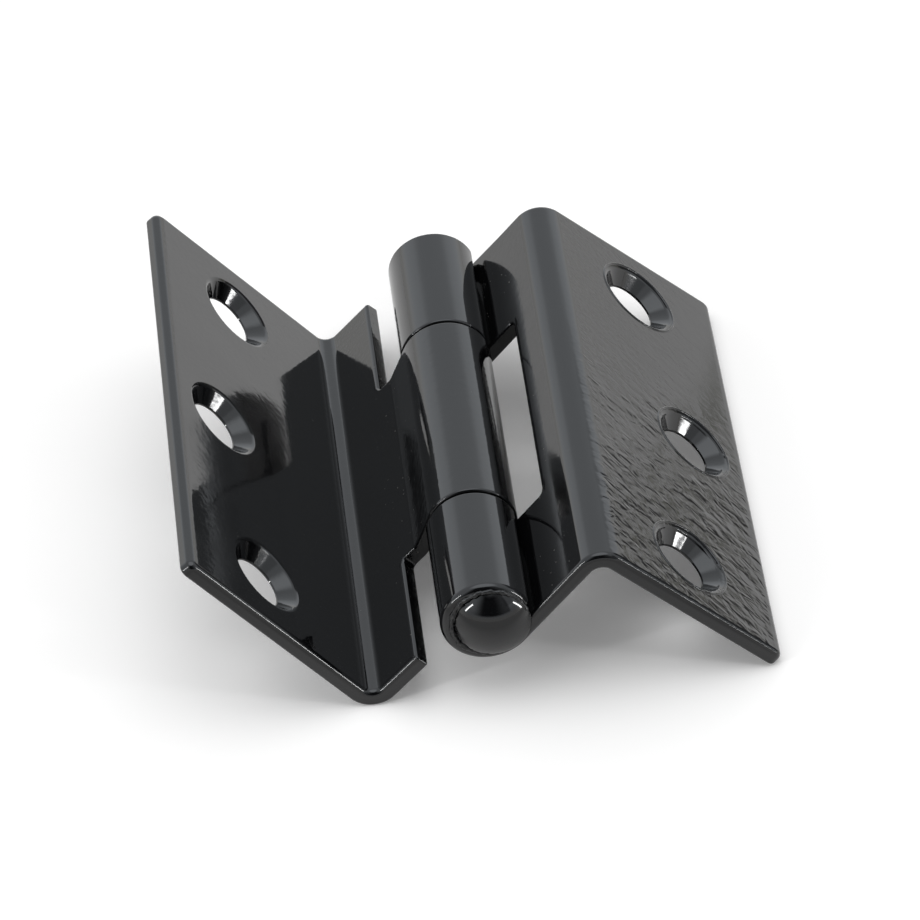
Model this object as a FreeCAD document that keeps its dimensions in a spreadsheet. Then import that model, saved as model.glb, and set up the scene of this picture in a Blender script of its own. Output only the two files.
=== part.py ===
import FreeCAD, Part
import math
import os
import Sketcher

# Stormproof hinge: two cranked steel leaves on one riveted pin.
# The outer leaf carries the two end knuckles, the centre leaf the long middle one.
# Each leaf is one bent sheet: screw plate, bend, flange, then the sheet rolled round the pin.
# The pin lies along Y. The hinge stands open on a table: Z is up, Z = 0 is the table,
# and the origin is under the middle of its bounding box.

SIZES = {
    "leaf_length": 64.0,
    "thickness": 1.8,
    "pin_diameter": 6.4,
    "pin_clearance": 0.05,
    "head_diameter": 8.2,
    "head_rim": 0.45,
    "head_rise": 2.35,
    "head_shoulder": 0.3,
    "centre_knuckle": 30.7,
    "knuckle_gap": 0.3,
    "roll_wrap": 298.0,
    "relief": 8.0,
    "crank": 14.95,
    "closed_gap": 0.1,
    "bend_radius": 1.4,
    "tongue_slope": 21.0,
    "tongue_radius": 1.0,
    "outer_bend_angle": 89.0,
    "outer_plate": 26.2,
    "centre_bend_angle": 85.0,
    "centre_plate": 27.3,
    "opening": 177.2,
    "end_hole_margin": 12.0,
    "middle_hole_margin": 7.6,
    "end_hole_offset": 23.8,
    "hole_diameter": 6.3,
    "countersink_diameter": 9.4,
    "countersink_angle": 90.0,
    "corner_radius": 1.0,
}

# Sizes that follow from the ones above, used by more than one piece.
# Lengths in each leaf's own frame: pin axis at the origin, flange level, knuckle at the origin.
DERIVED = {
    "pin_radius": "sizes.pin_diameter / 2",
    "centre_bore": "pin_radius + sizes.pin_clearance",
    "outer_roll": "pin_radius + sizes.thickness",
    "centre_roll": "centre_bore + sizes.thickness",
    "outside_bend": "sizes.bend_radius + sizes.thickness",
    # The two screw faces lie one closed gap apart when the leaves are folded together.
    "centre_flange": "pin_radius - sizes.closed_gap",
    "centre_crank": "sizes.crank + sizes.closed_gap",
    "outer_setback": "outside_bend / tan(sizes.outer_bend_angle / 2)",
    "centre_setback": "sizes.bend_radius / tan(sizes.centre_bend_angle / 2)",
    "tongue_setback": "sizes.tongue_radius * tan(sizes.tongue_slope / 2)",
    # The tongue leaves the level flange here and climbs to touch the roll.
    "tongue_foot": "(centre_roll - centre_flange * cos(sizes.tongue_slope))"
                   " / sin(sizes.tongue_slope)",
    "tongue_run": "(centre_roll * cos(sizes.tongue_slope) - centre_flange)"
                  " / sin(sizes.tongue_slope)",
    # Lower corner of the outer plate, on which the outer leaf stands.
    "foot_x": "sizes.crank - sizes.outer_plate * cos(sizes.outer_bend_angle)"
              " - sizes.thickness * sin(sizes.outer_bend_angle)",
    "foot_z": "-pin_radius - sizes.outer_plate * sin(sizes.outer_bend_angle)"
              " + sizes.thickness * cos(sizes.outer_bend_angle)",
    # Middle of the centre leaf's bend, on whose outside that leaf stands, seen from the outer leaf.
    "fold": "180 - sizes.opening",
    "heel_x": "(centre_setback - centre_crank) * cos(fold)"
              " + (centre_flange + sizes.bend_radius) * sin(fold)",
    "heel_z": "(centre_crank - centre_setback) * sin(fold)"
              " + (centre_flange + sizes.bend_radius) * cos(fold)",
    "stance": "sqrt((foot_x - heel_x) ^ 2 + (foot_z - heel_z) ^ 2)",
    # Slopes of the two flanges, with the heel and the foot both on the table.
    "outer_slope": "-atan2(foot_z - heel_z; foot_x - heel_x) / 1 deg"
                   " - asin(outside_bend / stance) / 1 deg",
    "centre_slope": "outer_slope - fold",
    "axis_height": "-foot_x * sin(outer_slope) - foot_z * cos(outer_slope)",
    # Reach of the two plates' outer corners to either side of the pin.
    "reach_right": "(sizes.crank - sizes.outer_plate * cos(sizes.outer_bend_angle))"
                   " * cos(outer_slope)"
                   " + (pin_radius + sizes.outer_plate * sin(sizes.outer_bend_angle))"
                   " * sin(outer_slope)",
    "reach_left": "(centre_crank - sizes.centre_plate * cos(sizes.centre_bend_angle)"
                  " + sizes.thickness * sin(sizes.centre_bend_angle)) * cos(centre_slope)"
                  " + (centre_flange + sizes.centre_plate * sin(sizes.centre_bend_angle)"
                  " + sizes.thickness * cos(sizes.centre_bend_angle)) * sin(centre_slope)",
    "axis_shift": "(reach_left - reach_right) / 2",
}

# Far enough to pass right through any leaf.
BEYOND = "sizes.crank"

ORIGIN = -1
START = 1
END = 2
CENTRE = 3

doc = FreeCAD.newDocument("stormproof_hinge")


def fill_sheet(name, cells):
    """Put named cells in a new sheet."""
    sheet = doc.addObject("Spreadsheet::Sheet", name)
    for row, (alias, value) in enumerate(cells.items(), start=1):
        sheet.set("A%d" % row, alias)
        sheet.set("B%d" % row, str(value))
        sheet.setAlias("B%d" % row, alias)
    doc.recompute()
    return sheet


def number(expression):
    """Value of an expression over the sheets, as a plain number."""
    value = SHEET.evalExpression(expression)
    return float(getattr(value, "Value", value))


def new_body(label, slope):
    """Body whose origin is on the pin axis, turned by the slope about the pin."""
    body = doc.addObject("PartDesign::Body", label)
    body.Label = label
    about_pin = FreeCAD.Rotation(FreeCAD.Vector(0, -1, 0), number(slope))
    body.Placement = FreeCAD.Placement(FreeCAD.Vector(), about_pin)
    body.setExpression("Placement.Rotation.Angle", slope)
    body.setExpression("Placement.Base.x", "derived.axis_shift")
    body.setExpression("Placement.Base.z", "derived.axis_height")
    return body


def new_sketch(body, name, role):
    """Sketch on one of the body's own origin planes."""
    sketch = body.newObject("Sketcher::SketchObject", name)
    plane = next(item for item in body.Origin.OriginFeatures if item.Role == role)
    sketch.AttachmentSupport = (plane, "")
    sketch.MapMode = "FlatFace"
    return sketch


def bind(sketch, kind, *where_and_expression):
    """Dimension tied to an expression."""
    *where, expression = where_and_expression
    value = number(expression)
    if kind == "Angle":
        value = math.radians(value)
    index = sketch.addConstraint(Sketcher.Constraint(kind, *where, value))
    name = "%s_%d" % (kind.lower(), index)
    sketch.renameConstraint(index, name)
    sketch.setExpression("Constraints." + name, expression)


def tie(sketch, kind, *where):
    """Geometric constraint without a dimension."""
    sketch.addConstraint(Sketcher.Constraint(kind, *where))


def add_line(sketch, start, end):
    return sketch.addGeometry(Part.LineSegment(start, end), False)


def add_arc(sketch, centre, radius, start, end):
    """Arc drawn anticlockwise between two angles in degrees."""
    circle = Part.Circle(centre, FreeCAD.Vector(0, 0, 1), radius)
    arc = Part.ArcOfCircle(circle, math.radians(start), math.radians(end))
    return sketch.addGeometry(arc, False)


def heading_vector(degrees):
    angle = math.radians(degrees)
    return FreeCAD.Vector(math.cos(angle), math.sin(angle), 0)


def draw_strip(sketch, bore, roll_end, runs):
    """Outline of a sheet rolled round the origin, then bent along straight runs.

    The roll starts at its free end and goes anticlockwise. Each run is a heading, a length
    and the inside radius of the bend before it; every bend turns clockwise.
    """
    inner = number(bore)
    gauge = number("sizes.thickness")
    first = number(runs[0][0])
    free_end = number(roll_end)
    middle = FreeCAD.Vector()
    left = add_arc(sketch, middle, inner, free_end, first + 270)
    right = add_arc(sketch, middle, inner + gauge, free_end, first + 270)
    lip = add_line(sketch, heading_vector(free_end) * inner, heading_vector(free_end) * (inner + gauge))
    for arc, radius in ((left, bore), (right, bore + " + sizes.thickness")):
        tie(sketch, "Coincident", arc, CENTRE, ORIGIN, START)
        bind(sketch, "Radius", arc, radius)
    tie(sketch, "Coincident", lip, START, left, START)
    tie(sketch, "Coincident", lip, END, right, START)
    tie(sketch, "PointOnObject", ORIGIN, START, lip)
    bind(sketch, "Angle", lip, roll_end)

    place = heading_vector(first - 90) * inner
    before = first
    exits = END
    for heading, length, radius in runs:
        now = number(heading)
        if radius:
            bend = number(radius)
            away = heading_vector(before - 90)
            centre = place + away * (bend + gauge)
            turned = (left, right)
            left = add_arc(sketch, centre, bend + gauge, now + 90, before + 90)
            right = add_arc(sketch, centre, bend, now + 90, before + 90)
            tie(sketch, "Tangent", turned[0], exits, left, END)
            tie(sketch, "Tangent", turned[1], exits, right, END)
            tie(sketch, "Coincident", left, CENTRE, right, CENTRE)
            bind(sketch, "Radius", left, radius + " + sizes.thickness")
            bind(sketch, "Radius", right, radius)
            place = centre + heading_vector(now + 90) * (bend + gauge)
            exits = START
        along = heading_vector(now)
        across = heading_vector(now - 90) * gauge
        reach = along * number(length)
        curve = (left, right)
        left = add_line(sketch, place, place + reach)
        right = add_line(sketch, place + across, place + across + reach)
        tie(sketch, "Tangent", curve[0], exits, left, START)
        tie(sketch, "Tangent", curve[1], exits, right, START)
        bind(sketch, "Angle", right, heading)
        bind(sketch, "Distance", right, length)
        place = place + reach
        before = now
        exits = END
    edge = add_line(sketch, place, place + across)
    tie(sketch, "Coincident", edge, START, left, END)
    tie(sketch, "Coincident", edge, END, right, END)
    tie(sketch, "Perpendicular", edge, right)
    tie(sketch, "Parallel", left, right)


def draw_rectangle(sketch, low_x, high_x, low_y, high_y):
    """Rectangle whose four sides are tied to the sketch axes."""
    corners = [
        FreeCAD.Vector(number(x), number(y), 0)
        for x, y in ((low_x, low_y), (high_x, low_y), (high_x, high_y), (low_x, high_y))
    ]
    sides = [add_line(sketch, corners[i], corners[(i + 1) % 4]) for i in range(4)]
    for i, side in enumerate(sides):
        tie(sketch, "Coincident", side, END, sides[(i + 1) % 4], START)
        tie(sketch, "Horizontal" if i % 2 == 0 else "Vertical", side)
    for kind, corner, size in (
        ("DistanceX", 0, low_x),
        ("DistanceY", 0, low_y),
        ("DistanceX", 2, high_x),
        ("DistanceY", 2, high_y),
    ):
        bind(sketch, kind, ORIGIN, START, sides[corner], START, size)


def pad_strip(body, sketch):
    """Run the strip's outline along the pin, half to each side."""
    pad = body.newObject("PartDesign::Pad", body.Name + "_sheet")
    pad.Profile = sketch
    pad.SideType = "Symmetric"
    pad.setExpression("Length", "sizes.leaf_length")
    doc.recompute()
    return pad


def cut_through(body, sketch, name):
    """Cut the sketch's outline right through the body, both ways."""
    before = body.Shape.Volume
    pocket = body.newObject("PartDesign::Pocket", name)
    pocket.Profile = sketch
    pocket.SideType = "Symmetric"
    pocket.setExpression("Length", "4 * (%s)" % BEYOND)
    doc.recompute()
    require(body.Shape.Volume < before, name + " cuts nothing")
    return pocket


def round_plate_corners(body):
    """Round the two outer corners of the screw plate."""
    base = body.Tip
    gauge = number("sizes.thickness")
    half = number("sizes.leaf_length / 2")
    corners = []
    for index, edge in enumerate(base.Shape.Edges, start=1):
        middle = edge.CenterOfMass
        on_end = abs(abs(middle.y) - half) < 0.01
        if on_end and abs(edge.Length - gauge) < 0.01:
            corners.append((math.hypot(middle.x, middle.z), index))
    corners.sort(reverse=True)
    fillet = body.newObject("PartDesign::Fillet", body.Name + "_corners")
    fillet.Base = (base, ["Edge%d" % index for _, index in corners[:2]])
    fillet.setExpression("Radius", "sizes.corner_radius")
    doc.recompute()
    require(len(corners) >= 2, body.Name + " has no plate corners")


def drill_plate(body, corner_x, corner_z, heading, plate, sheet_above):
    """Three countersunk screw holes: two far from the plate's edge, the middle one near it.

    The sketch lies on the screw face, its first axis running from the bend to the plate's edge.
    """
    sketch = new_sketch(body, body.Name + "_hole_centres", "XY_Plane")
    turn = FreeCAD.Rotation(FreeCAD.Vector(0, -1, 0), number(heading))
    sketch.AttachmentOffset = FreeCAD.Placement(FreeCAD.Vector(), turn)
    sketch.setExpression("AttachmentOffset.Rotation.Angle", heading)
    sketch.setExpression("AttachmentOffset.Base.x", corner_x)
    sketch.setExpression("AttachmentOffset.Base.z", corner_z)
    for margin, offset in (
        ("sizes.end_hole_margin", "sizes.end_hole_offset"),
        ("sizes.middle_hole_margin", "0"),
        ("sizes.end_hole_margin", "-sizes.end_hole_offset"),
    ):
        along = "%s - %s" % (plate, margin)
        centre = FreeCAD.Vector(number(along), number(offset), 0)
        circle = Part.Circle(centre, FreeCAD.Vector(0, 0, 1), number("sizes.hole_diameter / 2"))
        index = sketch.addGeometry(circle, False)
        bind(sketch, "Diameter", index, "sizes.hole_diameter")
        bind(sketch, "DistanceX", ORIGIN, START, index, CENTRE, along)
        if offset == "0":
            tie(sketch, "PointOnObject", index, CENTRE, ORIGIN)
        else:
            bind(sketch, "DistanceY", ORIGIN, START, index, CENTRE, offset)
    doc.recompute()
    before = body.Shape.Volume
    hole = body.newObject("PartDesign::Hole", body.Name + "_holes")
    hole.Profile = sketch
    hole.Reversed = sheet_above
    hole.DepthType = "Dimension"
    hole.DrillPoint = "Flat"
    hole.HoleCutType = "Countersink"
    hole.HoleCutCustomValues = True
    hole.setExpression("Depth", "2 * sizes.thickness")
    hole.setExpression("Diameter", "sizes.hole_diameter")
    hole.setExpression("HoleCutDiameter", "sizes.countersink_diameter")
    hole.setExpression("HoleCutCountersinkAngle", "sizes.countersink_angle")
    doc.recompute()
    require(body.Shape.Volume < before, body.Name + " has no screw holes")


def make_outer_leaf():
    """Leaf with the two end knuckles: level flange under the pin, plate turned down."""
    body = new_body("outer_knuckle_leaf", "derived.outer_slope")
    strip = new_sketch(body, "outer_strip", "XZ_Plane")
    heading = "sizes.outer_bend_angle - 180"
    runs = (
        ("0", "sizes.crank - derived.outer_setback", None),
        (heading, "sizes.outer_plate - derived.outer_setback", "sizes.bend_radius"),
    )
    draw_strip(strip, "derived.pin_radius", "270 - sizes.roll_wrap", runs)
    pad_strip(body, strip)

    # Window between the end knuckles, wider than the middle knuckle by a gap at each side.
    window = new_sketch(body, "outer_window", "XY_Plane")
    half = "sizes.centre_knuckle / 2 + sizes.knuckle_gap"
    draw_rectangle(window, "-" + BEYOND, "sizes.relief", "-(%s)" % half, half)
    cut_through(body, window, "outer_window_cut")

    round_plate_corners(body)
    drill_plate(body, "sizes.crank", "-derived.pin_radius", heading, "sizes.outer_plate", False)
    return body


def make_centre_leaf():
    """Leaf with the middle knuckle: level flange over the pin, plate turned up."""
    body = new_body("centre_knuckle_leaf", "derived.centre_slope")
    strip = new_sketch(body, "centre_strip", "XZ_Plane")
    heading = "sizes.centre_bend_angle"
    runs = (
        (
            "180 + sizes.tongue_slope",
            "derived.tongue_run - derived.tongue_setback",
            None,
        ),
        (
            "180",
            "derived.centre_crank - derived.tongue_foot - derived.tongue_setback"
            " - derived.centre_setback",
            "sizes.tongue_radius",
        ),
        (heading, "sizes.centre_plate - derived.centre_setback", "sizes.bend_radius"),
    )
    draw_strip(strip, "derived.centre_bore", "450 + sizes.tongue_slope - sizes.roll_wrap", runs)
    pad_strip(body, strip)

    # The sheet beside the middle knuckle stops short of the end knuckles.
    notch = new_sketch(body, "centre_notch", "XY_Plane")
    draw_rectangle(
        notch, "-sizes.relief", BEYOND, "sizes.centre_knuckle / 2", "sizes.leaf_length"
    )
    pocket = cut_through(body, notch, "centre_notch_cut")
    before = body.Shape.Volume
    mirrored = body.newObject("PartDesign::Mirrored", "centre_notches")
    mirrored.Originals = [pocket]
    plane = next(item for item in body.Origin.OriginFeatures if item.Role == "XZ_Plane")
    mirrored.MirrorPlane = (plane, [""])
    body.Tip = mirrored
    doc.recompute()
    require(body.Shape.Volume < before, "second notch cuts nothing")

    round_plate_corners(body)
    corner_x = "-derived.centre_crank"
    drill_plate(body, corner_x, "derived.centre_flange", heading, "sizes.centre_plate", True)
    return body


def make_pin():
    """Pin with a domed head riveted over each end knuckle."""
    body = new_body("hinge_pin", "0")
    sketch = new_sketch(body, "pin_half_section", "XY_Plane")
    end = number("sizes.leaf_length / 2")
    shank = number("derived.pin_radius")
    head = number("sizes.head_diameter / 2")
    rim = end + number("sizes.head_rim")
    top = end + number("sizes.head_rise")
    sag = top - rim
    dome = (head ** 2 + sag ** 2) / (2 * sag)
    spread = math.degrees(math.asin(head / dome))
    points = [
        FreeCAD.Vector(x, y, 0)
        for x, y in (
            (0, top), (0, -top), (head, -rim), (head, -end),
            (shank, -end), (shank, end), (head, end), (head, rim),
        )
    ]
    axis = add_line(sketch, points[0], points[1])
    near_dome = add_arc(sketch, FreeCAD.Vector(0, dome - top, 0), dome, 270, 270 + spread)
    near_rim = add_line(sketch, points[2], points[3])
    near_seat = add_line(sketch, points[3], points[4])
    side = add_line(sketch, points[4], points[5])
    far_seat = add_line(sketch, points[5], points[6])
    far_rim = add_line(sketch, points[6], points[7])
    far_dome = add_arc(sketch, FreeCAD.Vector(0, top - dome, 0), dome, 90 - spread, 90)
    chain = (
        (axis, END, near_dome, START),
        (near_dome, END, near_rim, START),
        (near_rim, END, near_seat, START),
        (near_seat, END, side, START),
        (side, END, far_seat, START),
        (far_seat, END, far_rim, START),
        (far_rim, END, far_dome, START),
        (far_dome, END, axis, START),
    )
    for link in chain:
        tie(sketch, "Coincident", *link)
    for upright in (near_rim, side, far_rim):
        tie(sketch, "Vertical", upright)
    for level in (near_seat, far_seat):
        tie(sketch, "Horizontal", level)
    for line, point in ((axis, START), (axis, END), (near_dome, CENTRE), (far_dome, CENTRE)):
        tie(sketch, "PointOnObject", line, point, -2)
    for line, point, kind, size in (
        (axis, START, "DistanceY", "sizes.leaf_length / 2 + sizes.head_rise"),
        (axis, END, "DistanceY", "-(sizes.leaf_length / 2 + sizes.head_rise)"),
        (near_rim, START, "DistanceY", "-(sizes.leaf_length / 2 + sizes.head_rim)"),
        (far_rim, END, "DistanceY", "sizes.leaf_length / 2 + sizes.head_rim"),
        (near_seat, START, "DistanceY", "-sizes.leaf_length / 2"),
        (far_seat, END, "DistanceY", "sizes.leaf_length / 2"),
        (near_rim, START, "DistanceX", "sizes.head_diameter / 2"),
        (far_rim, START, "DistanceX", "sizes.head_diameter / 2"),
        (side, START, "DistanceX", "derived.pin_radius"),
    ):
        bind(sketch, kind, ORIGIN, START, line, point, size)
    revolution = body.newObject("PartDesign::Revolution", "pin_turned")
    revolution.Profile = sketch
    revolution.ReferenceAxis = (sketch, ["V_Axis"])
    revolution.Angle = 360
    doc.recompute()
    round_head_shoulders(body)
    return body


def round_head_shoulders(body):
    """Round the edge between each head's dome and its rim."""
    base = body.Tip
    rim = number("sizes.leaf_length / 2 + sizes.head_rim")
    edges = [
        "Edge%d" % index
        for index, edge in enumerate(base.Shape.Edges, start=1)
        if not edge.Degenerated and abs(abs(edge.CenterOfMass.y) - rim) < 0.01
    ]
    require(len(edges) == 2, "the pin's heads have no shoulders")
    fillet = body.newObject("PartDesign::Fillet", "head_shoulders")
    fillet.Base = (base, edges)
    fillet.setExpression("Radius", "sizes.head_shoulder")
    doc.recompute()


def require(condition, message):
    if not condition:
        raise RuntimeError(message)


def check_document(bodies):
    """Every object computed, every sketch fully tied, every body one valid solid."""
    for item in doc.Objects:
        bad = [state for state in item.State if state in ("Invalid", "Error")]
        require(not bad, "%s did not compute: %s" % (item.Name, item.State))
        if item.TypeId == "Sketcher::SketchObject":
            require(item.FullyConstrained, item.Name + " is not fully tied")
    for body in bodies:
        shape = body.Shape
        require(not shape.isNull() and shape.isValid(), body.Label + " is not valid")
        require(len(shape.Solids) == 1, body.Label + " is not one solid")


SHEET = fill_sheet("sizes", SIZES)
fill_sheet("derived", {name: "=" + formula for name, formula in DERIVED.items()})
BODIES = (make_outer_leaf(), make_centre_leaf(), make_pin())
doc.recompute()
check_document(BODIES)

os.makedirs("parts", exist_ok=True)
for piece in BODIES:
    piece.Shape.exportStep("parts/%s.step" % piece.Label)
    box = piece.Shape.BoundBox
    print(piece.Label, "volume %.1f" % piece.Shape.Volume, box)
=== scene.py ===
"""Stormproof hinge in glossy black paint: two cranked steel leaves on one riveted pin, lying open.

Each leaf is made as the press makes it: a strip of sheet is run out from its outer edge, bent, cut
back beside the knuckles and rolled round the pin. Then it is drilled, countersunk and its edges are
rounded as the paint leaves them. Shapes are worked in millimetres in the leaf's own frame, with the
pin axis at the origin, and then set in the part's frame in metres.
"""

import logging
import math
from collections.abc import Callable, Iterator
from contextlib import contextmanager
from dataclasses import dataclass, field
from enum import Enum

import bmesh
import bpy
from mathutils import Matrix, Quaternion, Vector


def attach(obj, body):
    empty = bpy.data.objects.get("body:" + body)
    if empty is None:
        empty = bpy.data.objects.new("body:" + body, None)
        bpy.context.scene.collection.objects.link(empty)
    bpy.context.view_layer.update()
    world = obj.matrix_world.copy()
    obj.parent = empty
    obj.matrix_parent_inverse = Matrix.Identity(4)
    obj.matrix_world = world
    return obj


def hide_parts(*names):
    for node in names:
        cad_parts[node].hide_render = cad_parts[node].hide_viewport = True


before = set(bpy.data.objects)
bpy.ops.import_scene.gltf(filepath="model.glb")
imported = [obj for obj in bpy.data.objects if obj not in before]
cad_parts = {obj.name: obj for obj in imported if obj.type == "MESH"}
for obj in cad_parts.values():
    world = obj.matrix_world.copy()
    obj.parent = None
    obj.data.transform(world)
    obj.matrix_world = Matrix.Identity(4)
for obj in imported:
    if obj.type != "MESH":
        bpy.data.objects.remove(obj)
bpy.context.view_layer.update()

LOG = logging.getLogger("hinge")
MM = 0.001
IMAGE_SIZE = 920
SHARP = math.radians(30)
SMOOTH = math.radians(38)
Y_AXIS = (0, 1, 0)

# The pin's axis in the part's frame, and half of its length between the heads, in mm
PIN_AXIS = Vector((0.144369, 0, 9.79833))
PIN_HALF = 32.0

# How much longer the paint makes each screw plate, in mm
PAINT_GROWTH = 0.2

# The outer leaf's screw face: its normal, its distance from the origin in metres, and the
# direction in which the paint ran on it
PLATE_NORMAL = (0.672, 0, 0.741)
PLATE_FACE = 0.02236
RUN_SLANT = (0.643, -0.496, -0.583)

DUST_COLOUR = (0.085, 0.078, 0.068, 1)

# Azimuths over which the dark gap in the tent's right wall begins, and the painted shade under it on the
# table, in degrees
GAP_START = (98, 104)


class LeafKind(Enum):
    """Which of the two leaves: the one with the end knuckles or the one with the middle knuckle."""

    OUTER = "outer"
    CENTRE = "centre"


class Zone(Enum):
    """The two finishes on a leaf, by material slot: rolled sheet and sheared edge."""

    SHEET = 0
    CUT = 1


# Working with meshes


def only(obj: bpy.types.Object) -> None:
    """Select one object alone and make it active.

    Args:
        obj: The object.
    """
    bpy.ops.object.select_all(action="DESELECT")
    obj.select_set(True)
    bpy.context.view_layer.objects.active = obj


@contextmanager
def editing(obj: bpy.types.Object, mode: str = "FACE") -> Iterator[None]:
    """Edit mode on one object, with nothing selected at first.

    Args:
        obj: The object to work on.
        mode: VERT, EDGE or FACE, what gets selected.
    """
    only(obj)
    bpy.ops.object.mode_set(mode="EDIT")
    bpy.ops.mesh.select_mode(type=mode)
    bpy.ops.mesh.select_all(action="DESELECT")
    yield
    bpy.ops.object.mode_set(mode="OBJECT")


def pick_faces(obj: bpy.types.Object, wanted: Callable[[bmesh.types.BMFace], bool]) -> int:
    """Select the faces that pass a test, in edit mode.

    Args:
        obj: The object in edit mode.
        wanted: The test on a face.

    Returns:
        How many faces are selected.
    """
    mesh = bmesh.from_edit_mesh(obj.data)
    chosen = [face for face in mesh.faces if wanted(face)]
    bpy.ops.mesh.select_all(action="DESELECT")
    for face in chosen:
        face.select_set(True)
    bmesh.update_edit_mesh(obj.data)
    return len(chosen)


def pick_edges(obj: bpy.types.Object, wanted: Callable[[bmesh.types.BMEdge], bool]) -> int:
    """Select the edges that pass a test, in edit mode.

    Args:
        obj: The object in edit mode.
        wanted: The test on an edge.

    Returns:
        How many edges are selected.
    """
    mesh = bmesh.from_edit_mesh(obj.data)
    chosen = [edge for edge in mesh.edges if wanted(edge)]
    bpy.ops.mesh.select_all(action="DESELECT")
    for edge in chosen:
        edge.select_set(True)
    bmesh.update_edit_mesh(obj.data)
    return len(chosen)


def apply_place(obj: bpy.types.Object) -> None:
    """Put an object's place, turn and scale into its mesh."""
    only(obj)
    bpy.ops.object.transform_apply(location=True, rotation=True, scale=True)


def add_modifier(obj: bpy.types.Object, kind: str, **settings: object) -> None:
    """Add a modifier with the given settings and apply it at once.

    Args:
        obj: The object.
        kind: The modifier's type.
        settings: Its settings.
    """
    only(obj)
    bpy.ops.object.modifier_add(type=kind)
    modifier = obj.modifiers[-1]
    for name, value in settings.items():
        setattr(modifier, name, value)
    bpy.ops.object.modifier_apply(modifier=modifier.name)


def heading(degrees: float) -> Vector:
    """Unit vector in the XZ plane, anticlockwise from X as seen from the near end."""
    angle = math.radians(degrees)
    return Vector((math.cos(angle), 0, math.sin(angle)))


def set_down(piece: bpy.types.Object, place: Matrix) -> None:
    """Bring a piece made in mm to its place in the part's frame, in metres."""
    piece.matrix_world = place @ Matrix.Scale(MM, 4)
    apply_place(piece)


def smooth(obj: bpy.types.Object) -> None:
    """Smooth shading in which flats stay flat and rounded edges shine as one.

    Args:
        obj: The object.
    """
    only(obj)
    bpy.ops.object.shade_smooth_by_angle(angle=SMOOTH)
    add_modifier(obj, "WEIGHTED_NORMAL", keep_sharp=True, weight=80)


# The leaves


@dataclass(frozen=True)
class Run:
    """Straight stretch of sheet, traced from the plate's outer edge towards the pin.

    Attributes:
        towards: Heading in degrees.
        length: Length in mm.
    """

    towards: float
    length: float


@dataclass(frozen=True)
class Turn:
    """Bend or roll about a line along the pin's direction.

    Attributes:
        centre_x: Centre of the bend, mm.
        centre_z: Centre of the bend, mm.
        angle: Degrees, anticlockwise as seen from the near end.
        steps: Facets in the bend.
    """

    centre_x: float
    centre_z: float
    angle: float
    steps: int


# The roll of every knuckle about the pin
KNUCKLE_ROLL = Turn(0, 0, -298, 84)


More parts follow.
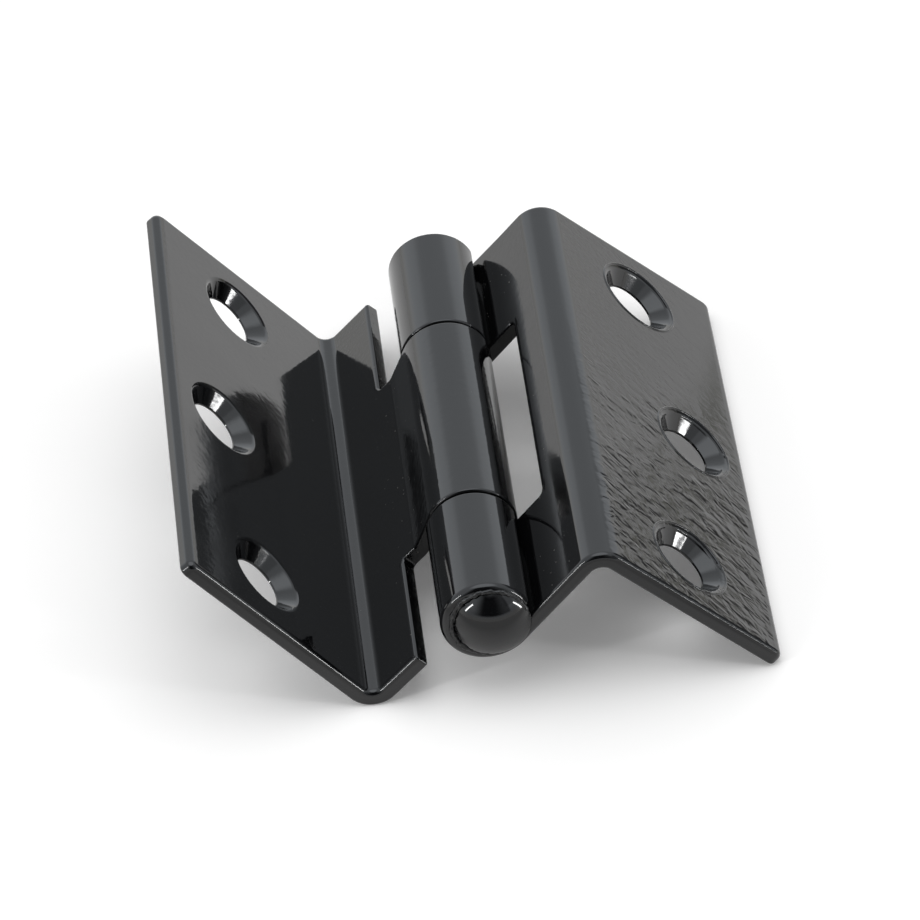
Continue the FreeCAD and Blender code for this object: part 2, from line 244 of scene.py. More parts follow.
@dataclass
class BentLeaf:
    """One leaf of the hinge. Lengths in mm, angles in degrees, in the leaf's own frame.

    The flange lies level beside the pin and the plate stands across it. The frame then tilts
    by slope about the pin, which lies along Y.
    """

    name: str
    body: str
    node: str
    kind: LeafKind
    slope: float
    corner_x: float
    corner_z: float
    plate_heading: float
    plate: float
    plate_side: int
    path: tuple[Run | Turn, ...]
    narrow_after: int
    knuckle_split: float
    relief: float
    notch_height: float
    roll_radius: float
    hole_rows: tuple[tuple[float, float], ...]
    length: float = 64.4
    corner_radius: float = 1.0
    far_growth: float = 0.0
    gauge: float = 1.8
    notch_radius: float = 0.5
    hole_radius: float = 3.15
    countersink_radius: float = 4.7
    rim_round: float = 0.85
    edge_round: float = 0.75
    back_round: float = 0.34
    gap_round: float = 0.30
    bore_round: float = 0.15
    sink_round: float = 0.32
    land_round: float = 0.05
    lip_radius: float = 5.10
    lip_bead: float = 0.20
    lip_rise: float = 0.11
    shear_reach: float = 1.3
    shear_drop: float = 0.12

    def screw_normal(self) -> Vector:
        """Direction in which the screw face looks."""
        return heading(self.plate_heading + 90 * self.plate_side)

    def plate_point(self, along: float) -> Vector:
        """Point on the screw face at a distance from the bend's sharp corner."""
        return Vector((self.corner_x, 0, self.corner_z)) + heading(self.plate_heading) * along

    def build(self) -> bpy.types.Object:
        """Make the whole leaf.

        Returns:
            The finished leaf, set in the part's frame.
        """
        leaf = self.cut_blank()
        self.bend_sheet(leaf)
        self.spread_far_knuckle(leaf)
        self.roll_over(leaf)
        self.round_corners(leaf)
        self.drill(leaf)
        self.mark_cut_faces(leaf)
        self.round_edges(leaf)
        self.raise_lips(leaf)
        smooth(leaf)
        self.set_in_frame(leaf)
        return leaf

    def cut_blank(self) -> bpy.types.Object:
        """Make the sheet's outer edge face, split where the knuckles part.

        Returns:
            The face from which the sheet is run out.
        """
        middle = self.plate_point(self.plate) - self.screw_normal() * (self.gauge / 2)
        turn = math.radians(self.plate_heading + 180 - 90)
        bpy.ops.object.select_all(action="DESELECT")
        bpy.ops.mesh.primitive_plane_add(size=1, location=middle, rotation=(0, -turn, 0))
        leaf = bpy.context.active_object
        leaf.name = self.name
        leaf.data.name = self.name
        leaf.scale = (self.gauge, self.length, 1)
        apply_place(leaf)
        with editing(leaf):
            for side in (-1, 1):
                bpy.ops.mesh.select_all(action="SELECT")
                bpy.ops.mesh.bisect(plane_co=(0, side * self.knuckle_split, 0), plane_no=Y_AXIS)
            bpy.ops.mesh.select_all(action="SELECT")
        return leaf

    def bend_sheet(self, leaf: bpy.types.Object) -> None:
        """Run the sheet out along its path, dropping the part beside the knuckles on the way.

        Args:
            leaf: The leaf.
        """
        with editing(leaf):
            bpy.ops.mesh.select_all(action="SELECT")
            for index, step in enumerate(self.path):
                if index == self.narrow_after:
                    self.keep_knuckle_strips(leaf)
                if isinstance(step, Run):
                    reach = heading(step.towards) * step.length
                    bpy.ops.mesh.extrude_region_move(TRANSFORM_OT_translate={"value": reach})
                else:
                    centre = (step.centre_x, 0, step.centre_z)
                    angle = math.radians(step.angle)
                    bpy.ops.mesh.spin(steps=step.steps, angle=angle, center=centre, axis=Y_AXIS)
            bpy.ops.mesh.select_all(action="SELECT")
            bpy.ops.mesh.normals_make_consistent(inside=False)

    def keep_knuckle_strips(self, leaf: bpy.types.Object) -> None:
        """Leave selected only the faces that go on to the knuckles.

        Args:
            leaf: The leaf.
        """
        mesh = bmesh.from_edit_mesh(leaf.data)
        outside = self.kind is LeafKind.OUTER
        going_on = {
            face.index
            for face in mesh.faces
            if face.select and (abs(face.calc_center_median().y) > self.knuckle_split) == outside
        }
        pick_faces(leaf, lambda face: face.index in going_on)

    def spread_far_knuckle(self, leaf: bpy.types.Object) -> None:
        """Let the far knuckle's end stand out a little, as the roll has spread it.

        Args:
            leaf: The leaf.
        """
        if not self.far_growth:
            return

        def rolled_end(face: bmesh.types.BMFace) -> bool:
            """Whether a face is on the far knuckle's end.

            Args:
                face: The face.

            Returns:
                True where it is.
            """
            middle = face.calc_center_median()
            reach = math.hypot(middle.x, middle.z)
            return middle.y > self.length / 2 - 0.01 and reach < self.roll_radius

        with editing(leaf):
            pick_faces(leaf, rolled_end)
            bpy.ops.transform.translate(value=(0, self.far_growth, 0))

    def roll_over(self, leaf: bpy.types.Object) -> None:
        """Let the screw face fall away at the outer edge, as the shears have drawn it down.

        Args:
            leaf: The leaf.
        """
        start = self.plate_point(self.plate - self.shear_reach)
        rim = self.plate_point(self.plate)

        def on_rim(edge: bmesh.types.BMEdge) -> bool:
            """Whether an edge is the screw face's outer one."""
            return all(math.hypot(v.co.x - rim.x, v.co.z - rim.z) < 0.01 for v in edge.verts)

        with editing(leaf, "EDGE"):
            bpy.ops.mesh.select_all(action="SELECT")
            bpy.ops.mesh.bisect(plane_co=start, plane_no=heading(self.plate_heading))
            pick_edges(leaf, on_rim)
            bpy.ops.transform.translate(value=-self.screw_normal() * self.shear_drop)

    def round_corners(self, leaf: bpy.types.Object) -> None:
        """Round the screw plate's two outer corners, and the corners of the notches inside.

        Args:
            leaf: The leaf.
        """
        outer = self.plate_point(self.plate)
        outer -= self.screw_normal() * ((self.gauge + self.shear_drop) / 2)
        side = 1 if self.kind is LeafKind.OUTER else -1
        inner = Vector((side * self.relief, 0, -side * self.notch_height))
        self.round_upright_edges(leaf, outer, self.length / 2, self.corner_radius)
        self.round_upright_edges(leaf, inner, self.knuckle_split, self.notch_radius)

    def round_upright_edges(
        self, leaf: bpy.types.Object, place: Vector, across: float, radius: float
    ) -> None:
        """Round the two edges that go through the sheet at a place.

        Args:
            leaf: The leaf.
            place: Middle of the edges, their Y left out.
            across: Distance of the edges from the leaf's middle.
            radius: Radius in mm.
        """

        def there(edge: bmesh.types.BMEdge) -> bool:
            """Whether an edge is one of the two."""
            middle = (edge.verts[0].co + edge.verts[1].co) / 2
            return (
                abs(abs(middle.y) - across) < 0.01
                and math.hypot(middle.x - place.x, middle.z - place.z) < 0.02
            )

        with editing(leaf, "EDGE"):
            pick_edges(leaf, there)
            bpy.ops.mesh.bevel(offset=radius, segments=6, affect="EDGES")

    def make_cutter(self) -> bpy.types.Object:
        """Make the countersink bit: a cone on a drill.

        Returns:
            The bit, pointing down at the origin, with the sheet's face at Z = 0.
        """
        lead = 0.6
        depth = self.countersink_radius - self.hole_radius
        bpy.ops.object.select_all(action="DESELECT")
        bpy.ops.mesh.primitive_cone_add(
            vertices=96,
            radius1=self.hole_radius,
            radius2=self.countersink_radius + lead,
            depth=depth + lead,
            location=(0, 0, (lead - depth) / 2),
        )
        bit = bpy.context.active_object
        apply_place(bit)
        with editing(bit):
            pick_faces(bit, lambda face: face.normal.z < -0.9)
            bpy.ops.mesh.extrude_region_move(TRANSFORM_OT_translate={"value": (0, 0, -self.gauge)})
        return bit

    def drill(self, leaf: bpy.types.Object) -> None:
        """Drill and countersink the screw holes from the screw face.

        Args:
            leaf: The leaf.
        """
        for cutter in self.at_holes(self.make_cutter()):
            add_modifier(leaf, "BOOLEAN", operation="DIFFERENCE", solver="EXACT", object=cutter)
            bpy.data.objects.remove(cutter)

    def at_holes(self, pattern: bpy.types.Object) -> list[bpy.types.Object]:
        """Set a copy of an object at each screw hole, and drop the pattern.

        Args:
            pattern: An object made about the origin, with the sheet's face at Z = 0.

        Returns:
            The copies.
        """
        turn = math.radians(self.plate_heading + 90 * self.plate_side - 90)
        copies = []
        for along, across in self.hole_rows:
            copy = pattern.copy()
            copy.data = pattern.data.copy()
            bpy.context.scene.collection.objects.link(copy)
            copy.location = self.plate_point(along) + Vector((0, across, 0))
            copy.rotation_euler = (0, -turn, 0)
            apply_place(copy)
            copies.append(copy)
        bpy.data.objects.remove(pattern)
        return copies

    def raise_lips(self, leaf: bpy.types.Object) -> None:
        """Add the lip that the bit threw up round each countersink of the outer leaf.

        Args:
            leaf: The leaf.
        """
        if self.kind is not LeafKind.OUTER:
            return
        bpy.ops.object.select_all(action="DESELECT")
        bpy.ops.mesh.primitive_torus_add(
            major_radius=self.lip_radius,
            minor_radius=self.lip_bead,
            major_segments=96,
            minor_segments=24,
            location=(0, 0, self.lip_rise - self.lip_bead),
        )
        lip = bpy.context.active_object
        apply_place(lip)
        lips = self.at_holes(lip)
        only(leaf)
        for lip in lips:
            lip.select_set(True)
        bpy.ops.object.join()

    def mark_cut_faces(self, leaf: bpy.types.Object) -> None:
        """Give the sheared faces their own finish: both ends, knuckle ends and the outer edge.

        Args:
            leaf: The leaf.
        """
        rim = self.plate_point(self.plate)
        outward = heading(self.plate_heading)

        def sheared(face: bmesh.types.BMFace) -> bool:
            """Whether a face was cut by the shears.

            Args:
                face: The face.

            Returns:
                True where it is.
            """
            middle = face.calc_center_median()
            on_end = abs(face.normal.y) > 0.9
            on_edge = face.normal.dot(outward) > 0.9 and (middle - rim).dot(outward) > -0.1
            return on_end or on_edge

        for _ in Zone:
            leaf.data.materials.append(None)
        with editing(leaf):
            pick_faces(leaf, sheared)
            leaf.active_material_index = Zone.CUT.value
            bpy.ops.object.material_slot_assign()

    def edge_radius(self, middle: Vector) -> float:
        """Radius of the paint on a sharp edge, by where the edge lies.

        Args:
            middle: Middle of the edge in the leaf's own frame.

        Returns:
            Radius in mm.
        """
        across = abs(middle.y)
        from_pin = math.hypot(middle.x, middle.z)
        for along, row in self.hole_rows:
            offset = middle - self.plate_point(along) - Vector((0, row, 0))
            depth = -offset.dot(self.screw_normal())
            radial = math.sqrt(max(offset.length_squared - depth * depth, 0))
            if radial < self.hole_radius + 0.1:
                return self.land_round
            if radial < self.countersink_radius + 0.1:
                return self.sink_round
        rolled = from_pin < self.roll_radius + 0.2
        if abs(across - self.knuckle_split) < 0.6 and from_pin < self.relief + 0.6:
            return self.gap_round
        if rolled and (middle.y > 0 or across < self.length / 2 - 1.2):
            return self.gap_round
        if from_pin < self.roll_radius - self.gauge + 0.1:
            return self.bore_round
        if rolled:
            return self.rim_round
        return self.edge_round if self.on_screw_side(middle) else self.back_round

    def on_screw_side(self, middle: Vector) -> bool:
        """Whether an edge is on the side of the sheet from which the holes are countersunk.

        Args:
            middle: Middle of the edge in the leaf's own frame.

        Returns:
            True where it is.
        """
        bend = self.path[1]
        off_plate = (middle - self.plate_point(0)).dot(self.screw_normal())
        from_bend = math.hypot(middle.x - bend.centre_x, middle.z - bend.centre_z)
        return (
            abs(off_plate) < self.shear_drop + 0.05
            or abs(middle.z - self.corner_z) < 0.05
            or abs(from_bend - abs(bend.centre_z - self.corner_z)) < 0.05
        )

    def round_edges(self, leaf: bpy.types.Object) -> None:
        """Round every sharp edge to the paint's radius there.

        Args:
            leaf: The leaf.
        """
        with editing(leaf, "EDGE"):
            mesh = bmesh.from_edit_mesh(leaf.data)
            layer = mesh.edges.layers.float.new("bevel_weight_edge")
            for edge in mesh.edges:
                if len(edge.link_faces) == 2 and edge.calc_face_angle() > SHARP:
                    middle = (edge.verts[0].co + edge.verts[1].co) / 2
                    edge[layer] = self.edge_radius(middle) / self.rim_round
            bmesh.update_edit_mesh(leaf.data)
        add_modifier(
            leaf,
            "BEVEL",
            limit_method="WEIGHT",
            width=self.rim_round,
            segments=5,
            use_clamp_overlap=False,
        )

    def set_in_frame(self, leaf: bpy.types.Object) -> None:
        """Tilt the leaf about the pin and bring it to its place in metres.

        Args:
            leaf: The leaf.
        """
        tilt = Matrix.Rotation(-math.radians(self.slope), 4, "Y")
        set_down(leaf, Matrix.Translation(PIN_AXIS * MM) @ tilt)
        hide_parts(self.node)
        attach(leaf, self.body)


def screw_rows(plate: float) -> tuple[tuple[float, float], ...]:
    """Places of the screw holes: distance from the bend's sharp corner, and Y."""
    return ((plate - 12.0, 23.8), (plate - 7.6, 0), (plate - 12.0, -23.8))


def outer_leaf() -> BentLeaf:
    """Leaf with the two end knuckles, its plate turned down to the table.

    Returns:
        The leaf's sizes.
    """
    gauge, bend, pin, crank = 1.8, 1.4, 3.2, 14.95
    opening, plate, relief = 89.0, 26.2, 8.0
    painted = plate + PAINT_GROWTH
    outside = bend + gauge
    setback = outside / math.tan(math.radians(opening / 2))
    bend_x = crank - setback
    return BentLeaf(
        name="outer_leaf_painted",
        body="outer_leaf",
        node="outer_knuckle_leaf",
        kind=LeafKind.OUTER,
        slope=48.7876,
        corner_x=crank,
        corner_z=-pin,
        plate_heading=opening - 180,
        plate=painted,
        plate_side=1,
        path=(
            Run(opening, painted - setback),
            Turn(bend_x, -pin - outside, 180 - opening, 16),
            Run(180, bend_x - relief),
            Run(180, relief),
            KNUCKLE_ROLL,
        ),
        narrow_after=3,
        knuckle_split=15.65,
        relief=relief,
        notch_height=pin + gauge / 2,
        roll_radius=pin + gauge,
        hole_rows=screw_rows(plate),
        far_growth=0.35,
    )


def centre_leaf() -> BentLeaf:
    """Leaf with the long middle knuckle, its plate turned up to the left.

    Returns:
        The leaf's sizes.
    """
    gauge, bend, bore, flange, crank = 1.8, 1.4, 3.25, 3.1, 15.05
    opening, plate, relief = 85.0, 27.3, 8.0
    rise, kink = 21.0, 1.0
    painted = plate + PAINT_GROWTH
    roll = bore + gauge
    setback = bend / math.tan(math.radians(opening / 2))
    bend_x = crank - setback
    sine, cosine = math.sin(math.radians(rise)), math.cos(math.radians(rise))
    trim = kink * math.tan(math.radians(rise / 2))
    foot = (roll - flange * cosine) / sine + trim
    climb = (roll * cosine - flange) / sine - trim
    return BentLeaf(
        name="centre_leaf_painted",
        body="centre_leaf",
        node="centre_knuckle_leaf",
        kind=LeafKind.CENTRE,
        slope=45.9876,
        corner_x=-crank,
        corner_z=flange,
        plate_heading=opening,
        plate=painted,
        plate_side=-1,
        path=(
            Run(opening + 180, painted - setback),
            Turn(-bend_x, flange + bend, 180 - opening, 16),
            Run(0, bend_x - relief),
            Run(0, relief - foot),
            Turn(-foot, flange + kink, rise, 6),
            Run(rise, climb),
            KNUCKLE_ROLL,
        ),
        narrow_after=3,
        knuckle_split=15.35,
        relief=relief,
        notch_height=flange - gauge / 2,
        roll_radius=roll,
        hole_rows=screw_rows(plate),
    )


# The pin


@dataclass
class HingePin:
    """Riveted pin with a domed head over each end knuckle. Lengths in mm.

    The near head was set a little off the pin's middle, towards the outer leaf.
    """

    name: str = "hinge_pin_painted"
    shank: float = 3.2
    around: int = 128
    head_radius: float = 4.18
    head_lift: float = 0.03
    head_rim: float = 0.22
    head_rise: float = 2.35
    head_shoulder: float = 0.3
    near_shift: float = 0.62

    def build(self) -> bpy.types.Object:
        """Turn the pin and rivet both heads.

        Returns:
            The finished pin, set in the part's frame.
        """
        bpy.ops.object.select_all(action="DESELECT")
        bpy.ops.mesh.primitive_cylinder_add(
            vertices=self.around,
            radius=self.shank,
            depth=2 * PIN_HALF,
            rotation=(math.radians(90), 0, 0),
        )
        pin = bpy.context.active_object
        pin.name = self.name
        pin.data.name = self.name
        apply_place(pin)
        for side in (-1, 1):
            self.rivet(pin, side)
        self.shift_near_head(pin)
        smooth(pin)
        set_down(pin, Matrix.Translation(PIN_AXIS * MM))
        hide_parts("hinge_pin")
        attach(pin, "outer_leaf")
        return pin

    def head_rings(self) -> tuple[list[tuple[float, float]], float]:
        """Work out a head's section: rim, rounded shoulder and dome.

        Returns:
            Radius and reach beyond the knuckle's end, ring by ring, and the rise left to the top.
        """
        rise = self.head_rise - self.head_rim
        dome = (self.head_radius**2 + rise**2) / (2 * rise)
        centre = self.head_rise - dome
        shoulder = self.head_shoulder
        inner = self.head_radius - shoulder
        shoulder_reach = centre + math.sqrt((dome - shoulder) ** 2 - inner**2)
        meeting = math.asin(inner / (dome - shoulder))
        rings = [(self.head_radius - 0.08, self.head_lift), (self.head_radius, self.head_lift + 0.08)]
        for step in range(7):
            angle = math.radians(90) + (meeting - math.radians(90)) * step / 6
            rings.append(
                (inner + shoulder * math.sin(angle), shoulder_reach + shoulder * math.cos(angle))
            )
        for step in range(13, 0, -1):
            angle = meeting * step / 14
            rings.append((dome * math.sin(angle), centre + dome * math.cos(angle)))
        return rings, self.head_rise - rings[-1][1]

    def rivet(self, pin: bpy.types.Object, side: int) -> None:
        """Spread one end of the shank into a head, ring by ring.

        Args:
            pin: The pin's object.
            side: -1 for the near end, 1 for the far one.
        """
        rings, rest = self.head_rings()
        with editing(pin):
            pick_faces(pin, lambda face: face.calc_center_median().y * side > PIN_HALF - 0.01)
            radius, reach = self.shank, 0.0
            for next_radius, next_reach in rings:
                growth = next_radius / radius
                step = (0, side * (next_reach - reach), 0)
                bpy.ops.mesh.extrude_region_move(TRANSFORM_OT_translate={"value": step})
                bpy.ops.transform.resize(
                    value=(growth, 1, growth),
                    center_override=(0, side * (PIN_HALF + next_reach), 0),
                )
                radius, reach = next_radius, next_reach
            bpy.ops.mesh.poke(offset=rest)

    def shift_near_head(self, pin: bpy.types.Object) -> None:
        """Move the near head off the pin's middle.

        Args:
            pin: The pin's object.
        """
        outside = -PIN_HALF - self.head_lift / 2
        with editing(pin):
            pick_faces(pin, lambda face: max(vert.co.y for vert in face.verts) < outside)
            bpy.ops.transform.translate(value=(self.near_shift, 0, 0))


@dataclass
class PaintBead:
    """Crust of paint that dried round a pin head, lumpy all round. Lengths in mm.

    Attributes:
        side: -1 for the near end, 1 for the far one.
        off_x: How far the crust lies off the pin's middle.
        off_z: The same, upwards.
        reach: How far its middle stands out beyond the pin's shank.
    """

    name: str
    side: int
    off_x: float
    off_z: float
    reach: float
    ring: float = 4.14
    bead: float = 0.27
    lumps: float = 0.42
    grain: float = 0.52

    def build(self) -> bpy.types.Object:
        """Lay the crust round the head.

        Returns:
            The finished ring, set in the part's frame.
        """
        bpy.ops.object.select_all(action="DESELECT")
        bpy.ops.mesh.primitive_torus_add(
            major_radius=self.ring,
            minor_radius=self.bead,
            major_segments=400,
            minor_segments=16,
            rotation=(math.radians(90), 0, 0),
        )
        bead = bpy.context.active_object
        bead.name = self.name
        bead.data.name = self.name
        apply_place(bead)
        grit = bpy.data.textures.new(self.name + "_grit", "CLOUDS")
        grit.noise_scale = self.grain
        grit.noise_depth = 2
        add_modifier(bead, "DISPLACE", texture=grit, strength=self.lumps, mid_level=0.55)
        only(bead)
        bpy.ops.object.shade_smooth()
        offset = Vector((self.off_x, self.side * (PIN_HALF + self.reach), self.off_z))
        set_down(bead, Matrix.Translation((PIN_AXIS + offset) * MM))
        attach(bead, "outer_leaf")
        return bead


# Finishes


def add_socket(tree: bpy.types.NodeTree, name: str, kind: str, value: float | None = None) -> None:
    """Give a node group an input (with a value) or an output (without one).

    Args:
        tree: The group.
        name: The socket's name.
        kind: The socket's type.
        value: An input's value.
    """
    direction = "OUTPUT" if value is None and kind != "NodeSocketVector" else "INPUT"
    socket = tree.interface.new_socket(name, in_out=direction, socket_type=kind)
    if value is not None:
        socket.default_value = value


@dataclass
class NodeBench:
    """Adds and joins the nodes of one tree."""

    tree: bpy.types.NodeTree

    def add(self, kind: str, **values: object) -> bpy.types.Node:
        """Add a node.

        Args:
            kind: The node's type name.
            values: Node settings in lower case, and input values by socket name, in which a
                space is written as two underscores.

        Returns:
            The new node.
        """
        node = self.tree.nodes.new(kind)
        for name, value in values.items():
            if hasattr(node, name):
                setattr(node, name, value)
            else:
                self.put(node.inputs[name.replace("__", " ")], value)
        return node

    def put(self, socket: bpy.types.NodeSocket, value: object) -> None:
        """Set an input to a value, or join an output to it.

        Args:
            socket: The input.
            value: A value or an output.
        """
        if isinstance(value, bpy.types.NodeSocket):
            self.tree.links.new(value, socket)
        else:
            socket.default_value = value

    def maths(self, operation: str, *values: object) -> bpy.types.NodeSocket:
        """Add a Math node.

        Args:
            operation: What it works out.
            values: Its inputs, values or outputs.

        Returns:
            Its output.
        """
        node = self.tree.nodes.new("ShaderNodeMath")
        node.operation = operation
        for socket, value in zip(node.inputs, values):
            self.put(socket, value)
        return node.outputs[0]

    def ramp(
        self, value: object, low: float, high: float, out_low: float = 0.0, out_high: float = 1.0
    ) -> bpy.types.NodeSocket:
        """Smooth step of a value from one range to another.

        Args:
            value: The value.
            low: Start of the step.
            high: End of the step.
            out_low: Result up to the start.
            out_high: Result from the end.

        Returns:
            The mapped value.
        """
        node = self.tree.nodes.new("ShaderNodeMapRange")
        node.interpolation_type = "SMOOTHSTEP"
        for socket, number in zip(node.inputs, (value, low, high, out_low, out_high)):
            self.put(socket, number)
        return node.outputs[0]

    def window(
        self, value: object, start: float, full: float, fading: float, end: float
    ) -> bpy.types.NodeSocket:
        """Mask that is 1 from full to fading, and 0 before start and after end.

        Args:
            value: The value.
            start: Where the mask leaves 0.
            full: Where it reaches 1.
            fading: Where it leaves 1.
            end: Where it is 0 again.

        Returns:
            The mask.
        """
        return self.maths(
            "MULTIPLY", self.ramp(value, start, full), self.ramp(value, end, fading)
        )

    def vector(self, operation: str, *values: object) -> bpy.types.Node:
        """Add a Vector Math node.

        Args:
            operation: What it works out.
            values: Its inputs, values or outputs.

        Returns:
            The node.
        """
        node = self.tree.nodes.new("ShaderNodeVectorMath")
        node.operation = operation
        for socket, value in zip(node.inputs, values):
            self.put(socket, value)
        return node


def peel_group() -> bpy.types.NodeTree:
    """Orange peel of thick paint: a fine ripple on a slow swell.

    Returns:
        The node group. Ripple and Swell are heights in metres, Pitch is ripples per metre.
    """
    tree = bpy.data.node_groups.new("orange_peel", "ShaderNodeTree")
    tree.interface.new_socket("Vector", in_out="INPUT", socket_type="NodeSocketVector")
    add_socket(tree, "Pitch", "NodeSocketFloat", 700.0)
    add_socket(tree, "Ripple", "NodeSocketFloat", 6e-6)
    add_socket(tree, "Swell", "NodeSocketFloat", 2e-5)
    add_socket(tree, "Height", "NodeSocketFloat")
    bench = NodeBench(tree)
    given = tree.nodes.new("NodeGroupInput").outputs
    made = tree.nodes.new("NodeGroupOutput").inputs
    fine = bench.add(
        "ShaderNodeTexNoise", Vector=given["Vector"], Scale=given["Pitch"], Detail=1.6, Roughness=0.42
    )
    slow = bench.add(
        "ShaderNodeTexNoise",
        Vector=given["Vector"],
        Scale=bench.maths("MULTIPLY", given["Pitch"], 0.085),
        Detail=1.0,
        Roughness=0.4,
    )
    ripple = bench.maths("MULTIPLY", fine.outputs["Fac"], given["Ripple"])
    swell = bench.maths("MULTIPLY", slow.outputs["Fac"], given["Swell"])
    bench.put(made["Height"], bench.maths("ADD", ripple, swell))
    return tree


def sag_group() -> bpy.types.NodeTree:
    """Slanting runs in thick paint: ripples drawn out along one direction.

    Returns:
        The node group. Slant is the direction of the runs, Pitch is ripples per metre across it.
    """
    tree = bpy.data.node_groups.new("paint_runs", "ShaderNodeTree")
    tree.interface.new_socket("Vector", in_out="INPUT", socket_type="NodeSocketVector")
    tree.interface.new_socket("Slant", in_out="INPUT", socket_type="NodeSocketVector")
    add_socket(tree, "Pitch", "NodeSocketFloat", 850.0)
    add_socket(tree, "Run", "NodeSocketFloat", 1e-4)
    add_socket(tree, "Height", "NodeSocketFloat")
    bench = NodeBench(tree)
    given = tree.nodes.new("NodeGroupInput").outputs
    made = tree.nodes.new("NodeGroupOutput").inputs
    along = bench.vector("DOT_PRODUCT", given["Vector"], given["Slant"]).outputs["Value"]
    most = bench.vector("SCALE", given["Slant"])
    bench.put(most.inputs["Scale"], bench.maths("MULTIPLY", along, 0.4))
    drawn = bench.vector("SUBTRACT", given["Vector"], most.outputs["Vector"]).outputs["Vector"]
    runs = bench.add(
        "ShaderNodeTexNoise",
        Vector=drawn,
        Scale=given["Pitch"],
        Detail=1.5,
        Roughness=0.5,
        Distortion=0.5,
    )
    bench.put(made["Height"], bench.maths("MULTIPLY", runs.outputs["Fac"], given["Run"]))
    return tree


def dust_group() -> bpy.types.NodeTree:
    """Dust that settled on the paint: sparse pale specks of mixed size.

    Returns:
        The node group. Pitch is the grid of places per metre, Share how many hold a speck.
    """
    tree = bpy.data.node_groups.new("dust", "ShaderNodeTree")
    tree.interface.new_socket("Vector", in_out="INPUT", socket_type="NodeSocketVector")
    add_socket(tree, "Pitch", "NodeSocketFloat", 1500.0)
    add_socket(tree, "Size", "NodeSocketFloat", 0.12)
    add_socket(tree, "Share", "NodeSocketFloat", 0.12)
    add_socket(tree, "Mask", "NodeSocketFloat")
    bench = NodeBench(tree)
    given = tree.nodes.new("NodeGroupInput").outputs
    made = tree.nodes.new("NodeGroupOutput").inputs
    cells = bench.add("ShaderNodeTexVoronoi", Vector=given["Vector"], Scale=given["Pitch"])
    parts = bench.add("ShaderNodeSeparateColor", Color=cells.outputs["Color"])
    size = bench.maths("MULTIPLY", given["Size"], parts.outputs["Green"])
    core = bench.maths("MULTIPLY", size, 0.45)
    speck = bench.ramp(cells.outputs["Distance"], size, core)
    there = bench.maths("LESS_THAN", parts.outputs["Red"], given["Share"])
    bench.put(made["Mask"], bench.maths("MULTIPLY", speck, there))
    return tree


